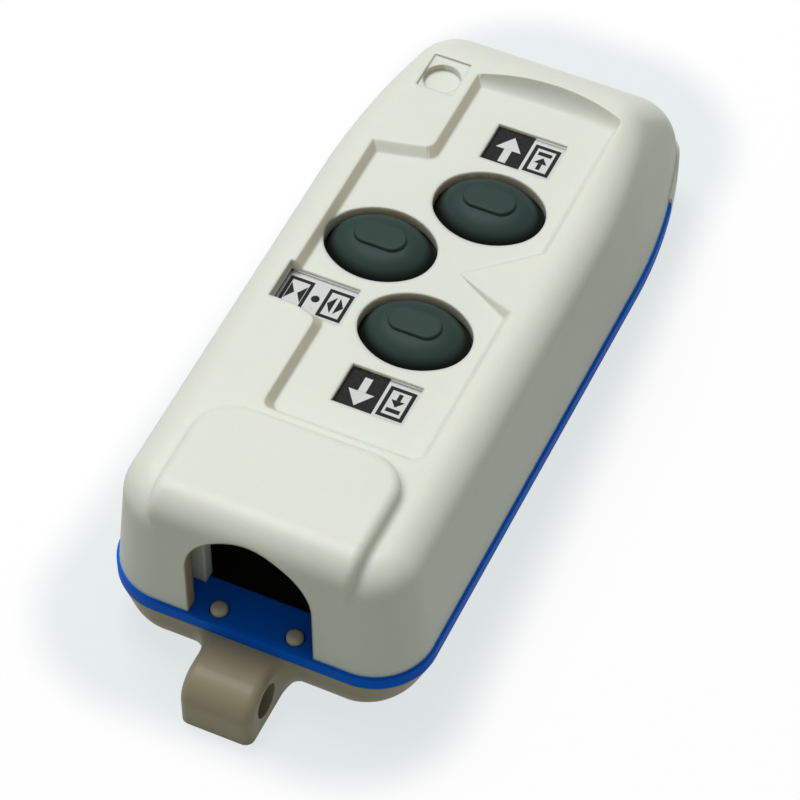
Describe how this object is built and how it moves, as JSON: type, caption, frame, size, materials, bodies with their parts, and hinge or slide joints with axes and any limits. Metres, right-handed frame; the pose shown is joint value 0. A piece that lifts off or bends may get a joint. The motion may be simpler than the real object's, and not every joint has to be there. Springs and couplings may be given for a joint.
{
  "type": "pendant switch",
  "caption": "Hand-held wired pendant switch: tapered cream housing with oval rubber push buttons, label windows, blue seal, arched cable inlet and strap lug.",
  "frame": {"origin": "middle of the back, on the plane that the unit lies on", "axes": "+Z out of the button face, +Y from the cable inlet to the far end, +X to the right of the buttons"},
  "size_m": [0.061, 0.1534, 0.042],
  "materials": {
    "cover": "satin moulded cream plastic",
    "gasket": "satin blue rubber",
    "case": "satin moulded taupe plastic",
    "button": "matt dark green rubber",
    "window": "clear polished plastic",
    "card": "printed card",
    "plunger": "natural plastic",
    "guide": "dark plastic",
    "switch": "black plastic",
    "stem": "ivory plastic",
    "board": "green laminate",
    "terminal": "green plastic",
    "steel": "zinc-plated steel",
    "brass": "turned brass"
  },
  "bodies": {
    "housing": {"front_cover": "cover", "seal_gasket": "gasket", "rear_case": "case", "guide_plate": "guide", "circuit_board": "board", "terminal_block": "terminal", "case_screws": "steel", "guide_screws": "steel", "board_screws": "steel", "terminal_screws": "brass", "threaded_inserts": "brass", "return_spring_lower": "steel", "switch_body_lower": "switch", "label_card_lower": "card", "label_window_lower": "window", "return_spring_middle": "steel", "switch_body_middle": "switch", "label_card_middle": "card", "label_window_middle": "window", "return_spring_upper": "steel", "switch_body_upper": "switch", "label_card_upper": "card", "label_window_upper": "window"},
    "button_lower": {"button_cap_lower": "button", "plunger_lower": "plunger", "switch_stem_lower": "stem"},
    "button_middle": {"button_cap_middle": "button", "plunger_middle": "plunger", "switch_stem_middle": "stem"},
    "button_upper": {"button_cap_upper": "button", "plunger_upper": "plunger", "switch_stem_upper": "stem"}
  },
  "joints": [
    {"name": "press_lower", "type": "slide", "parent": "housing", "child": "button_lower", "axis": [0, 0, -1], "range_m": [0, 0.0015], "stiffness_N_per_m": 800, "springref_m": -0.001, "deforming": ["return_spring_lower"]},
    {"name": "press_middle", "type": "slide", "parent": "housing", "child": "button_middle", "axis": [0, 0, -1], "range_m": [0, 0.0015], "stiffness_N_per_m": 800, "springref_m": -0.001, "deforming": ["return_spring_middle"]},
    {"name": "press_upper", "type": "slide", "parent": "housing", "child": "button_upper", "axis": [0, 0, -1], "range_m": [0, 0.0015], "stiffness_N_per_m": 800, "springref_m": -0.001, "deforming": ["return_spring_upper"]}
  ]
}
